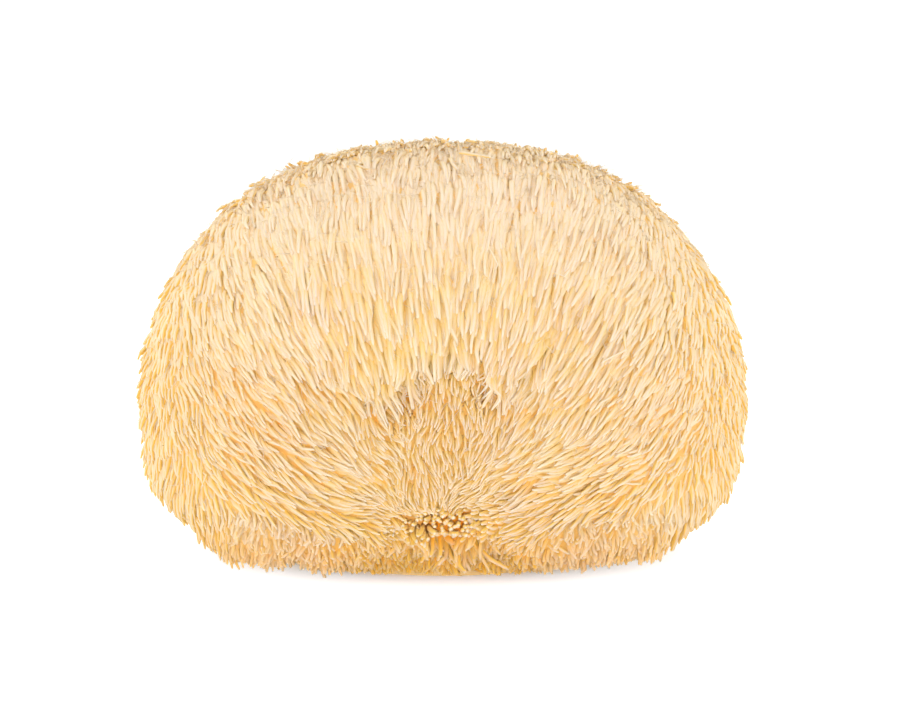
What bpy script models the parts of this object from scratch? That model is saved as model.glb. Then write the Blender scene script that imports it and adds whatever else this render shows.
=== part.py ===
# Lion's mane mushroom, picked, tipped back and resting on its flat cut.
#
# Metres, +Z up. The origin is on the cut, under the middle of the body, and
# -Y is the front, where all the spines run together at one low point.
#
# The body is a cube grid blown up into a squashed, rounded form with a few
# soft folds. Every grid face outside the cut is raised into one leaning spine,
# so body and spines are a single closed solid.

import math
import random

import bmesh
import bpy
import numpy as np
from mathutils import Vector
from mathutils.bvhtree import BVHTree

MM = 0.001

# Driving dimensions of the flesh, the surface that the spines grow from
FLESH_HALF_WIDTH = 69.9 * MM     # along X
FLESH_HALF_DEPTH = 53.6 * MM     # along Y
FLESH_RISE = 60.8 * MM           # from the widest level up to the crown
FLESH_DROP = 32.0 * MM           # from the widest level down to the underside
WIDEST_LEVEL = 37.0 * MM         # height of the widest level over the floor
CROWN_FULLNESS = 2.2             # 2 is an ellipsoid, more is boxier
UNDERSIDE_FULLNESS = 3.3

# The cut, an oval left flat on the floor
CUT_HALF_WIDTH = 34.0 * MM
CUT_HALF_DEPTH = 25.0 * MM
CUT_SET_BACK = 4.0 * MM          # its centre behind the body's centre

# Spines
SPINE_LEAN = 7.6 * MM            # reach of a tip along the surface
SPINE_LIFT = 5.0 * MM            # height of a tip over the surface
BACK_LEAN = 4.6 * MM             # shorter ones on the crown of the back
TIP_SCATTER = 1.1 * MM
FLOOR_GAP = 0.4 * MM             # tips of the lowest spines over the floor
LENGTH_SPREAD = (0.76, 1.10)     # shortest and longest against the nominal
FLOOR_REACH = 0.8                # share of its height over the floor that a tip may hang
POLE_REACH = 0.7                 # share of its way to the pole that a tip may lean
BACK_CROWN = (0.9, 1.9)          # where the shorter spines start and are all there

# Combing: the way the spines lie
POLE = (-1.0 * MM, -64.0 * MM, 23.9 * MM)       # the spines comb towards it
POLE_HOLE = (0.4 * MM, -56.0 * MM, 22.0 * MM)   # the dimple where they meet
SIDE_DROOP = 1.3                 # pull of gravity against that of the pole, at the sides
LOW_DROOP = 3.5                  # the same, low on the flanks
LOW_DROOP_LEVELS = (14.0 * MM, 30.0 * MM)       # whole below the first, none over the second
CROWN_DROOP = 0.66               # the same, above the middle of the front
CROWN_DROOP_LEVELS = (34.0 * MM, 50.0 * MM)     # none below the first, whole over the second
CROWN_DROOP_WIDTH = 26.0 * MM
BACK_DROOP = 0.45
BACK_STARTS = (-15.0 * MM, 20.0 * MM)           # from front rules to back rules, along Y
TIER_INWARD = 0.35               # lean of the lowest tier towards the axis
TIER_TO_HOLE = 0.9               # and towards the dimple
TIER_HOLE_REACH = 35.0 * MM

# Folds of the front, by height Z over X: the ragged lower edge of the long
# upper spines, and the seam over the lowest tier
CURTAIN_EDGE = [(-36, 44), (-24, 45), (-12, 44), (0.5, 52), (13, 45.5), (23, 52), (33, 60)]
CURTAIN_PROUD = 1.47 * MM
CURTAIN_RECESS = 3.36 * MM
CURTAIN_SPREAD = 9.0 * MM        # how far both fade out
PROUD_STEP = (-3.0 * MM, 3.0 * MM)              # over the edge, where it comes in
RECESS_STEP = (-2.0 * MM, 3.0 * MM)             # the same, under the edge
SEAM_HEIGHT = 18.4 * MM          # at the middle; it rises to the sides
SEAM_RISE = 0.0036 / MM
SEAM_HALF_LENGTH = 43.0 * MM
SEAM_OVERHANG = 2.6 * MM
SEAM_STEP = (2.0 * MM, -2.5 * MM)
SEAM_ENDS = (0.75, 1.2)          # of the half length, where it fades out
COMB_STEP = (-5.0 * MM, 2.0 * MM)               # the same, for the combing
FRONT_STARTS = (0.25, 0.6)       # of the half depth, where the folds fade in

# Soft dents: place on the front or back in X and Z, radius, depth, all in mm
FRONT_DENTS = [(-48, 45, 11, 2.4), (-26, 49, 9, 1.6), (-41, 31, 9, 1.8), (34, 25, 10, 2.2),
               (49, 38, 11, 1.6), (10, 80, 16, 1.2), (0.4, 22, 7, 4.0)]
BACK_DENTS = [(-24, 66, 16, 2.2), (30, 58, 18, 2.0), (4, 34, 14, 1.8), (-52, 38, 14, 1.6),
              (50, 26, 12, 1.6)]

# Grid of the cube, 2 wide, that the body is blown up from
CELLS = 20                       # cells along each edge
CUT_CELLS = 5                    # cells from the middle of the cut to its rim
GRID_JITTER = 0.016
STEADY_RING = 0.11               # width of the ring round the cut without jitter
ROUND_RING = 1.2                 # the cut's ring that is still fully oval, in cut sizes
ON_FACE = 1e-4
CROWN_BIAS = 0.28                # spreads the cells evenly over crown and underside
SEED = 11
SHORTENING = 0.82                # of a spine that crosses another, each round
SHORTENING_ROUNDS = 12

SPINE_COLOUR = (0.89, 0.72, 0.49, 1.0)
SPINE_ROUGHNESS = 0.62
CUT_COLOUR = (0.86, 0.74, 0.55, 1.0)
CUT_ROUGHNESS = 0.8
SUBSURFACE = 0.3
SUBSURFACE_RADIUS = (0.004, 0.002, 0.001)


def smooth_step(value, low, high):
    t = np.clip((value - low) / (high - low), 0.0, 1.0)
    return t * t * (3.0 - 2.0 * t)


def unit(vectors):
    return vectors / np.maximum(np.linalg.norm(vectors, axis=1, keepdims=True), 1e-9)


def fullness(upward):
    """Exponent of the outline: softer above the widest level, boxier below."""
    below = smooth_step(-upward, 0.0, 1.0)
    return CROWN_FULLNESS + (UNDERSIDE_FULLNESS - CROWN_FULLNESS) * below


def half_sizes(upward):
    rise = np.where(upward > 0.0, FLESH_RISE, FLESH_DROP)
    width = np.full_like(rise, FLESH_HALF_WIDTH)
    depth = np.full_like(rise, FLESH_HALF_DEPTH)
    return np.stack([width, depth, rise], axis=1)


def smooth_body(directions):
    """Points of the body without its folds, one for each direction."""
    power = fullness(directions[:, 2])[:, None]
    reach = np.sum(np.abs(directions) ** power, axis=1, keepdims=True) ** (-1.0 / power)
    points = directions * reach * half_sizes(directions[:, 2])
    points[:, 2] += WIDEST_LEVEL
    return points


def outward(points):
    """Normals of the smooth body at points near its surface."""
    local = points - np.array([0.0, 0.0, WIDEST_LEVEL])
    sizes = half_sizes(local[:, 2])
    scaled = local / sizes
    power = fullness(scaled[:, 2] / np.linalg.norm(scaled, axis=1))[:, None]
    return unit(np.sign(scaled) * np.abs(scaled) ** (power - 1.0) / sizes)


def over_seam(points):
    return points[:, 2] - SEAM_HEIGHT - SEAM_RISE * points[:, 0] ** 2


def droop(points):
    """Pull of gravity on the spines, against a pull of 1 towards the pole."""
    x, y, z = points.T
    side = np.abs(x) / FLESH_HALF_WIDTH
    low = 1.0 - smooth_step(z, *LOW_DROOP_LEVELS)
    crown = np.exp(-(x / CROWN_DROOP_WIDTH) ** 2) * smooth_step(z, *CROWN_DROOP_LEVELS)
    front = SIDE_DROOP * side ** 4 + LOW_DROOP * side ** 2 * low + CROWN_DROOP * crown
    return front + (BACK_DROOP - front) * smooth_step(y, *BACK_STARTS)


def folds(points):
    """How far the flesh stands out of the smooth body, negative in a fold."""
    x, y, z = points.T
    front = smooth_step(-y / FLESH_HALF_DEPTH, *FRONT_STARTS)
    back = smooth_step(y / FLESH_HALF_DEPTH, *FRONT_STARTS)
    height = np.zeros(len(points))
    for side, dents in ((front, FRONT_DENTS), (back, BACK_DENTS)):
        for dent_x, dent_z, radius, depth in dents:
            distance = np.hypot(x - dent_x * MM, z - dent_z * MM) / (radius * MM)
            height -= side * depth * MM * np.exp(-distance ** 2)

    edge_x, edge_z = np.array(CURTAIN_EDGE).T * MM
    under = np.interp(x, edge_x, edge_z) - z
    reach = smooth_step(x, edge_x[0], edge_x[1]) * smooth_step(-x, -edge_x[-1], -edge_x[-2])
    recess = smooth_step(under, *RECESS_STEP) * np.exp(-np.maximum(under, 0.0) / CURTAIN_SPREAD)
    proud = smooth_step(-under, *PROUD_STEP) * np.exp(-(np.minimum(under, 0.0) / CURTAIN_SPREAD) ** 2)
    height += front * reach * (CURTAIN_PROUD * proud - CURTAIN_RECESS * recess)

    along = 1.0 - smooth_step(np.abs(x) / SEAM_HALF_LENGTH, *SEAM_ENDS)
    below = smooth_step(over_seam(points), *SEAM_STEP)
    return height - front * along * SEAM_OVERHANG * below


def comb(points, normals):
    """Direction in which the spines lie, along the surface."""
    to_pole = unit(np.array(POLE) - points)
    down = np.array([0.0, 0.0, -1.0])
    upper = to_pole + droop(points)[:, None] * down
    inward = unit(points * np.array([-1.0, -1.0, 0.0]))
    to_hole = np.array(POLE_HOLE) - points
    near = np.exp(-(np.linalg.norm(to_hole, axis=1, keepdims=True) / TIER_HOLE_REACH) ** 2)
    lower = down + TIER_INWARD * inward + TIER_TO_HOLE * near * unit(to_hole)
    share = smooth_step(over_seam(points), *COMB_STEP)[:, None]
    way = share * unit(upper) + (1.0 - share) * unit(lower)
    along = way - np.sum(way * normals, axis=1, keepdims=True) * normals
    return unit(along)


def spine_steps(points, normals):
    """Step from each spine's root to its tip, for a spine of nominal length."""
    from_pole = np.linalg.norm(points - np.array(POLE_HOLE), axis=1, keepdims=True)
    up_and_back = points[:, 1:2] / FLESH_HALF_DEPTH + points[:, 2:] / FLESH_RISE
    crown_of_back = smooth_step(up_and_back, *BACK_CROWN)
    lean = SPINE_LEAN + (BACK_LEAN - SPINE_LEAN) * crown_of_back
    lean = np.minimum(lean, POLE_REACH * from_pole)
    steps = lean * comb(points, normals) + SPINE_LIFT * normals
    lowest = -FLOOR_REACH * np.maximum(points[:, 2] - FLOOR_GAP, 0.0)
    steps[:, 2] = np.maximum(steps[:, 2], lowest)
    return steps


def round_the_cut(corners):
    """Turns the square rings of the cube's underside into ovals near the cut."""
    under = corners[:, 2] < -1.0 + ON_FACE
    square = np.max(np.abs(corners[:, :2]), axis=1)
    radius = np.maximum(np.linalg.norm(corners[:, :2], axis=1), 1e-9)
    rim = 2.0 * CUT_CELLS / CELLS
    share = 1.0 - smooth_step(square, rim * ROUND_RING, 1.0)
    factor = np.where(under, 1.0 + share * (square / radius - 1.0), 1.0)
    corners[:, :2] *= factor[:, None]
    return square, under


def body_points(corners, jitter):
    """Moves the corners of the cube grid to the surface of the flesh."""
    square, under = round_the_cut(corners)
    rim = 2.0 * CUT_CELLS / CELLS
    in_cut = under & (square < rim + ON_FACE)
    steady = under & (square < rim + STEADY_RING)
    moved = corners + jitter * ~steady[:, None]
    directions = unit(np.tan(moved * math.pi / 4.0))
    directions[:, 2] += CROWN_BIAS
    directions = unit(directions)
    points = smooth_body(directions)
    points += folds(points)[:, None] * outward(points)
    ring = corners[in_cut, :2] / rim
    points[in_cut, 0] = ring[:, 0] * CUT_HALF_WIDTH
    points[in_cut, 1] = ring[:, 1] * CUT_HALF_DEPTH + CUT_SET_BACK
    points[in_cut, 2] = 0.0
    return points, in_cut


def grow_body(mesh_data):
    """The flesh with its cut: a cube grid, blown up."""
    bmesh.ops.create_cube(mesh_data, size=2.0)
    bmesh.ops.subdivide_edges(mesh_data, edges=mesh_data.edges[:], cuts=CELLS - 1, use_grid_fill=True)
    chance = random.Random(SEED)
    corners = np.array([vertex.co[:] for vertex in mesh_data.verts])
    jitter = np.array([[chance.uniform(-1.0, 1.0) for _ in range(3)] for _ in corners]) * GRID_JITTER
    points, in_cut = body_points(corners, jitter)
    for vertex, point in zip(mesh_data.verts, points):
        vertex.co = point
    return [vertex for vertex, inside in zip(mesh_data.verts, in_cut) if inside]


def raise_spines(mesh_data, cut_corners):
    """Pokes every face that has no corner in the cut and pulls its middle out."""
    in_cut = set(cut_corners)
    faces = [face for face in mesh_data.faces if not in_cut.intersection(face.verts)]
    middles = bmesh.ops.poke(mesh_data, faces=faces)["verts"]
    roots = {vertex: vertex.co.copy() for vertex in middles}
    points = np.array([vertex.co[:] for vertex in middles])
    steps = spine_steps(points, outward(points))
    chance = random.Random(SEED + 1)
    for vertex, step in zip(middles, steps):
        tip = vertex.co + Vector(step) * chance.uniform(*LENGTH_SPREAD)
        tip += Vector([chance.uniform(-TIP_SCATTER, TIP_SCATTER) for _ in range(3)])
        tip.z = max(tip.z, FLOOR_GAP)
        vertex.co = tip
    return roots


def crossed_tips(mesh_data, roots):
    """Tips of the spines that run into one that isn't their neighbour."""
    mesh_data.faces.ensure_lookup_table()
    tree = BVHTree.FromBMesh(mesh_data)
    crossed = set()
    for first, second in tree.overlap(tree):
        corners = set(mesh_data.faces[first].verts)
        others = set(mesh_data.faces[second].verts)
        if not corners & others:
            crossed.update(corner for corner in corners | others if corner in roots)
    return crossed


def shorten_crossed_spines(mesh_data, roots):
    for _ in range(SHORTENING_ROUNDS):
        crossed = crossed_tips(mesh_data, roots)
        if not crossed:
            return
        for tip in crossed:
            tip.co = roots[tip] + SHORTENING * (tip.co - roots[tip])


def flatten_cut(mesh_data, cut_corners):
    """Joins the flat faces of the cut into one."""
    in_cut = set(cut_corners)
    faces = [face for face in mesh_data.faces if in_cut.issuperset(face.verts)]
    cut = bmesh.ops.dissolve_faces(mesh_data, faces=faces)["region"][0]
    cut.material_index = 1


def centre_on_cut(mesh_data):
    """Puts the origin under the middle of the body's box."""
    points = np.array([vertex.co[:] for vertex in mesh_data.verts])
    middle = (points.min(axis=0) + points.max(axis=0)) / 2.0
    bmesh.ops.translate(mesh_data, verts=mesh_data.verts[:], vec=(-middle[0], -middle[1], 0.0))


def finish_material(name, colour, roughness):
    material = bpy.data.materials.new(name)
    material.use_nodes = True
    material.diffuse_color = colour
    shader = material.node_tree.nodes["Principled BSDF"]
    shader.inputs["Base Color"].default_value = colour
    shader.inputs["Roughness"].default_value = roughness
    shader.inputs["Metallic"].default_value = 0.0
    shader.inputs["Subsurface Weight"].default_value = SUBSURFACE
    shader.inputs["Subsurface Radius"].default_value = SUBSURFACE_RADIUS
    return material


def build_fruiting_body(collection):
    mesh_data = bmesh.new()
    cut_corners = grow_body(mesh_data)
    roots = raise_spines(mesh_data, cut_corners)
    shorten_crossed_spines(mesh_data, roots)
    flatten_cut(mesh_data, cut_corners)
    centre_on_cut(mesh_data)
    mesh = bpy.data.meshes.new("fruiting_body")
    mesh_data.to_mesh(mesh)
    mesh_data.free()
    mesh.materials.append(finish_material("cream_spines", SPINE_COLOUR, SPINE_ROUGHNESS))
    mesh.materials.append(finish_material("cut_flesh", CUT_COLOUR, CUT_ROUGHNESS))
    body = bpy.data.objects.new("fruiting_body", mesh)
    collection.objects.link(body)
    return body


def main():
    for leftover in list(bpy.data.objects):
        bpy.data.objects.remove(leftover, do_unlink=True)
    collection = bpy.data.collections.new("lions_mane_mushroom")
    bpy.context.scene.collection.children.link(collection)
    build_fruiting_body(collection)


main()
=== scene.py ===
# Lion's mane mushroom: a rounded body of pale flesh, all but hidden by soft
# hanging spines that comb down to one low point at the front.
import math

import bpy
import numpy as np
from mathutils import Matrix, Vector
from mathutils.bvhtree import BVHTree
from mathutils.kdtree import KDTree


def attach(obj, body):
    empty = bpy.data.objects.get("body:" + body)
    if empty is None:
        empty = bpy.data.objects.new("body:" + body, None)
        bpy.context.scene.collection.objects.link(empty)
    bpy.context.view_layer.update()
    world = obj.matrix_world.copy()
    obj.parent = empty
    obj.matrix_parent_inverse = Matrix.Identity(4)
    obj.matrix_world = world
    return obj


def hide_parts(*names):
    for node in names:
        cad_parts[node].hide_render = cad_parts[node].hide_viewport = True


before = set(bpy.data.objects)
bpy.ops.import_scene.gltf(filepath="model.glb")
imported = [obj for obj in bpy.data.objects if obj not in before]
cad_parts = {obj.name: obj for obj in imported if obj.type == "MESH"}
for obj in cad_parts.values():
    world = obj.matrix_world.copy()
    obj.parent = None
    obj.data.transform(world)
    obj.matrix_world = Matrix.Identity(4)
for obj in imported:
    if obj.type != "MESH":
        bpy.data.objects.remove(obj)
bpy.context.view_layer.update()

mm = 0.001


def smoothStep(value, low, high):
    t = np.clip((value - low) / (high - low), 0.0, 1.0)
    return t * t * (3.0 - 2.0 * t)


# 1 below low, 0 above high
def fadeOut(value, low, high):
    return smoothStep(-value, -high, -low)


def blend(first, second, share):
    return first + (second - first) * share


def unit(vectors):
    return vectors / np.maximum(np.linalg.norm(vectors, axis=-1, keepdims=True), 1e-9)


def dot(first, second):
    return np.sum(first * second, axis=-1, keepdims=True)


# smooth random field, about -1 to 1, made of crossing waves
def softNoise(points, wavelength, seed, waves=9):
    draw = np.random.default_rng(seed)
    ways = unit(draw.normal(size=(waves, 3))) * draw.uniform(0.7, 1.5, (waves, 1))
    phases = draw.uniform(0.0, 2.0 * math.pi, waves)
    turns = points @ ways.T * (2.0 * math.pi / wavelength) + phases
    return np.sin(turns).sum(axis=1) / math.sqrt(waves * 0.75)


def deselectAll():
    if bpy.context.object and bpy.context.object.mode != "OBJECT":
        bpy.ops.object.mode_set(mode="OBJECT")
    bpy.ops.object.select_all(action="DESELECT")


# a shader node with its settings and the values of its sockets
def newNode(tree, kind, values=None, **settings):
    node = tree.nodes.new("ShaderNode" + kind)
    for name, setting in settings.items():
        setattr(node, name, setting)
    for name, value in (values or {}).items():
        node.inputs[name].default_value = value
    return node


def link(tree, source, target):
    tree.links.new(source, target)


def ramp(tree, stops, value):
    node = newNode(tree, "ValToRGB")
    elements = node.color_ramp.elements
    while len(elements) < len(stops):
        elements.new(0.5)
    for element, (place, colour) in zip(elements, stops):
        element.position = place
        element.color = colour
    link(tree, value, node.inputs["Fac"])
    return node.outputs["Color"]


def mapRange(tree, value, reach, made, ease="LINEAR"):
    limits = {"From Min": reach[0], "From Max": reach[1], "To Min": made[0], "To Max": made[1]}
    node = newNode(tree, "MapRange", limits, interpolation_type=ease)
    link(tree, value, node.inputs["Value"])
    return node.outputs["Result"]


def calculate(tree, operation, *values):
    node = newNode(tree, "Math", operation=operation)
    for value, socket in zip(values, node.inputs):
        link(tree, value, socket)
    return node.outputs["Value"]


def mixColour(tree, mode, share, first, second):
    node = newNode(tree, "Mix", data_type="RGBA", blend_type=mode)
    for name, value in (("Factor", share), ("A", first), ("B", second)):
        if isinstance(value, (tuple, float)):
            node.inputs[name].default_value = value
        else:
            link(tree, value, node.inputs[name])
    return node.outputs["Result"]


def noise(tree, place, scale, detail=2.0):
    node = newNode(tree, "TexNoise", {"Scale": scale, "Detail": detail})
    link(tree, place, node.inputs["Vector"])
    return node.outputs["Fac"]


def attribute(tree, name):
    return newNode(tree, "Attribute", attribute_name=name).outputs["Fac"]


def objectPlace(tree):
    return newNode(tree, "TexCoord").outputs["Object"]


cameraView = {
    "lens": 90.0,
    "distance": 0.55,
    "elevation": 10.0,             # degrees over the horizon
    "aim": (1.55 * mm, 0.0, 49.3 * mm),
}


def makeCamera():
    lift = math.radians(cameraView["elevation"])
    back = Vector((0.0, -math.cos(lift), math.sin(lift)))
    place = Vector(cameraView["aim"]) + back * cameraView["distance"]
    bpy.ops.object.camera_add(location=place, rotation=(math.pi / 2 - lift, 0.0, 0.0))
    camera = bpy.context.object
    camera.name = "photoCamera"
    camera.data.lens = cameraView["lens"]
    camera.data.clip_start = 0.01
    bpy.context.scene.camera = camera


white = (1.0, 1.0, 1.0, 1.0)
floorLook = {
    "size": 6.0,
    "level": -0.1 * mm,
    "colour": (0.80, 0.80, 0.80, 1.0),
    "roughness": 0.9,
    "glow": 0.92,                  # to the camera only
    "paintedShadowGlow": 0.30,           # under the body, where it leaves a painted contact shadow
    "glowReach": (0.75, 1.4),      # in half sizes of the shade
    # the painted contact shadow: its colour, where it fades out, and its size
    "shadeColour": (1.0, 0.76, 0.46, 1.0),
    "shadeReach": (0.75, 1.0),
    "shadeHalfSize": (52.0, 27.0),     # millimetres
}


# pale paper, with a painted contact shadow that is darker and warmer under the body
def makeFloor():
    deselectAll()
    place = (0.0, 0.0, floorLook["level"])
    bpy.ops.mesh.primitive_plane_add(size=floorLook["size"], location=place)
    floor = bpy.context.object
    floor.name = "floor"
    paper = bpy.data.materials.new("palePaper")
    paper.use_nodes = True
    tree = paper.node_tree
    shader = tree.nodes["Principled BSDF"]
    shader.inputs["Base Color"].default_value = floorLook["colour"]
    shader.inputs["Roughness"].default_value = floorLook["roughness"]
    halfWidth, halfDepth = floorLook["shadeHalfSize"]
    scale = (1.0 / (halfWidth * mm), 1.0 / (halfDepth * mm), 0.0)
    setBack = (0.0, -body["cutSetBack"] / halfDepth, 0.0)
    under = newNode(tree, "Mapping", {"Location": setBack, "Scale": scale})
    link(tree, objectPlace(tree), under.inputs["Vector"])
    away = newNode(tree, "VectorMath", operation="LENGTH")
    link(tree, under.outputs["Vector"], away.inputs[0])
    away = away.outputs["Value"]
    # painted contact shadow: warm colour and less glow near the body
    shadeStops = zip(floorLook["shadeReach"], (floorLook["shadeColour"], white))
    link(tree, ramp(tree, list(shadeStops), away), shader.inputs["Emission Color"])
    glows = (floorLook["paintedShadowGlow"], floorLook["glow"])
    glow = mapRange(tree, away, floorLook["glowReach"], glows, "SMOOTHSTEP")
    toCamera = newNode(tree, "LightPath").outputs["Is Camera Ray"]
    link(tree, calculate(tree, "MULTIPLY", glow, toCamera), shader.inputs["Emission Strength"])
    floor.data.materials.append(paper)


lights = {
    "roomStrength": 0.22,
    "roomToCamera": 1.05,          # how bright the camera sees the room
    "topPlace": (-0.1, 0.2, 0.88),
    "topPower": 4.6,
    "topSize": 1.3,
    "ringCount": 8,
    "ringPower": 1.12,
    "ringBoosts": {0: 2.95, 3: 1.7, 4: 1.7, 5: 1.7},    # 0 is in front, 4 behind
    "ringRadius": 0.9,
    "ringElevation": 11.0,         # degrees
    "ringSize": 0.15,
    "target": (0.0, 0.0, 0.05),
}


def areaLight(name, place, size, power):
    bpy.ops.object.light_add(type="AREA", location=place)
    light = bpy.context.object
    light.name = name
    light.data.size = size
    light.data.energy = power
    toTarget = Vector(lights["target"]) - Vector(place)
    light.rotation_euler = toTarget.to_track_quat("-Z", "Y").to_euler()


def makeLights():
    world = bpy.data.worlds.new("softRoom")
    bpy.context.scene.world = world
    world.use_nodes = True
    room = world.node_tree.nodes["Background"]
    room.inputs["Color"].default_value = white
    toCamera = newNode(world.node_tree, "LightPath").outputs["Is Camera Ray"]
    strengths = (lights["roomStrength"], lights["roomToCamera"])
    strength = mapRange(world.node_tree, toCamera, (0.0, 1.0), strengths)
    link(world.node_tree, strength, room.inputs["Strength"])
    areaLight("topBox", lights["topPlace"], lights["topSize"], lights["topPower"])
    lift = math.radians(lights["ringElevation"])
    level, height = lights["ringRadius"] * math.cos(lift), lights["ringRadius"] * math.sin(lift)
    for index in range(lights["ringCount"]):
        turn = 2.0 * math.pi * index / lights["ringCount"]
        place = (level * math.sin(turn), -level * math.cos(turn), height)
        power = lights["ringPower"] * lights["ringBoosts"].get(index, 1.0)
        areaLight("ringBox%d" % index, place, lights["ringSize"], power)
    bpy.context.scene.view_settings.view_transform = "Standard"


# the form of the body: places in millimetres, heights over the floor
body = {
    "halfWidth": 69.9,
    "halfDepth": 53.6,
    "rise": 60.8,                  # from the widest level up
    "drop": 32.0,                  # from the widest level down
    "widestLevel": 37.0,
    "crownFullness": 2.2,          # 2 is an ellipsoid, more is boxier
    "undersideFullness": 3.3,
    "crownBias": 0.28,             # draws the grid's cells up to the crown
    "frontFrom": (0.25, 0.6),      # of the half depth
    "facingUp": (0.45, 0.95),      # where the crown begins, as the upward part of a normal
    "cutHalfWidth": 34.0,
    "cutHalfDepth": 25.0,
    "cutSetBack": 4.0,
    "padding": 2.1,                # flesh over the solid's, where the spines merge at their roots
    "paddingLevels": (12.0, 24.0),
    "corePadding": 0.7,            # less of it under the fine spines
    "crownPadding": 1.2,
    "frontFoot": (3.4, 3.6),       # fuller near the floor, right and left of the middle
    "footFrom": (8.0, 26.0),       # the middle
    "footTo": (46.0, 62.0),
    "footLevels": (8.0, 18.0),
    "swellFrom": (30.0, 62.0),
    # height, reach, how far out at the right and at the left
    "sideSwells": [(10.0, 5.0, 0.7, 1.5), (24.0, 6.0, 0.9, 0.9), (40.0, 13.0, 0.0, 0.6)],
    "pocketDepth": 2.6,
    # where the coat opens: X, Z, radius
    "pockets": [(-6.8, 49.0, 2.1), (-11.4, 45.2, 2.2), (8.9, 50.8, 2.1), (12.3, 48.3, 1.7),
                (18.9, 47.6, 1.4), (16.5, 44.5, 1.0), (-26.0, 38.0, 1.5), (-36.0, 41.5, 1.6),
                (21.0, 31.0, 1.5), (-7.0, 33.0, 1.3)],
    # soft dents: X, Z, radius, depth
    "frontDents": [(-48, 45, 11, 2.4), (-26, 49, 9, 1.6), (-41, 31, 9, 1.8), (34, 25, 10, 2.2),
                   (49, 38, 11, 1.6), (10, 80, 16, 1.2), (0.8, 20.5, 7, 2.2)],
    "backDents": [(-24, 66, 16, 2.2), (30, 58, 18, 2.0), (4, 34, 14, 1.8), (-52, 38, 14, 1.6),
                  (50, 26, 12, 1.6)],
}
# long spines hang over the hollow at the front
curtain = {
    "edge": [(-32, 42), (-12, 44), (0.5, 52), (13, 45.5), (30, 56)],    # X, Z
    "wander": 1.9,
    "wanderLength": 6.5,
    "length": 8.0,                 # of its spines past their roots
    "overhang": 2.8,
    "proud": 0.35,                 # of the overhang, above the edge
    "proudTo": (-3.0, 3.0),
    "recess": 0.8,                 # of the overhang, under it
    "recessFrom": (-2.0, 3.0),
    "reach": 9.0,
    "coreFrom": (-5.0, 4.0),       # where the fine spines under it begin
    "coreOverSeam": (-2.0, 4.0),
}
# the seam between the coat and the tier of short spines under it
seam = {
    "height": 17.2,                # at the middle, and it rises to the sides
    "rise": 0.0036,
    "wander": 1.1,
    "wanderLength": 15.0,
    "halfLength": 43.0,
    "ends": (0.75, 1.2),           # of the half length
    "overhang": 2.6,
    "ledge": (2.0, -2.5),          # heights over the seam
}


def halfSizes(upward):
    rise = np.where(upward > 0.0, body["rise"], body["drop"])
    width, depth = np.full_like(rise, body["halfWidth"]), np.full_like(rise, body["halfDepth"])
    return np.stack([width, depth, rise], axis=1)


def fullness(upward):
    return blend(body["crownFullness"], body["undersideFullness"], smoothStep(-upward, 0.0, 1.0))


def smoothBody(directions):
    power = fullness(directions[:, 2])[:, None]
    reach = np.sum(np.abs(directions) ** power, axis=1, keepdims=True) ** (-1.0 / power)
    points = directions * reach * halfSizes(directions[:, 2])
    points[:, 2] += body["widestLevel"]
    return points


def outward(points):
    local = points - np.array([0.0, 0.0, body["widestLevel"]])
    sizes = halfSizes(local[:, 2])
    scaled = local / sizes
    power = fullness(scaled[:, 2] / np.linalg.norm(scaled, axis=1))[:, None]
    return unit(np.sign(scaled) * np.abs(scaled) ** (power - 1.0) / sizes)


def frontness(points):
    begins, whole = body["frontFrom"]
    return smoothStep(-points[:, 1], begins * body["halfDepth"], whole * body["halfDepth"])


def overSeam(points):
    wander = seam["wander"] * softNoise(points, seam["wanderLength"], 62)
    return points[:, 2] - seam["height"] - seam["rise"] * points[:, 0] ** 2 - wander


# how far below the curtain's edge, and how much of the curtain is there
def underCurtain(points):
    edgeX, edgeZ = np.array(curtain["edge"]).T
    x = points[:, 0]
    reach = smoothStep(x, edgeX[0], edgeX[1]) * fadeOut(x, edgeX[-2], edgeX[-1])
    wander = curtain["wander"] * softNoise(points * [1.0, 0.3, 0.3], curtain["wanderLength"], 63)
    return np.interp(x, edgeX, edgeZ) + wander - points[:, 2], reach * frontness(points)


# 1 on the fine spines between the curtain's edge and the seam
def coreShare(points):
    under, reach = underCurtain(points)
    under = under + curtain["length"]
    over = smoothStep(overSeam(points), *curtain["coreOverSeam"])
    return reach * smoothStep(under, *curtain["coreFrom"]) * over


# 1 in the middle of a pocket
def pocketShare(points):
    x, z = points[:, 0], points[:, 2]
    share = np.zeros(len(points))
    for pocketX, pocketZ, radius in body["pockets"]:
        share += np.exp(-((x - pocketX) ** 2 + (z - pocketZ) ** 2) / radius ** 2)
    return frontness(points) * share


def padding(points):
    level = smoothStep(points[:, 2], *body["paddingLevels"])
    thick = body["padding"] * level * (1.0 - body["corePadding"] * coreShare(points))
    return thick + body["crownPadding"] * smoothStep(outward(points)[:, 2], *body["facingUp"])


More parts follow.
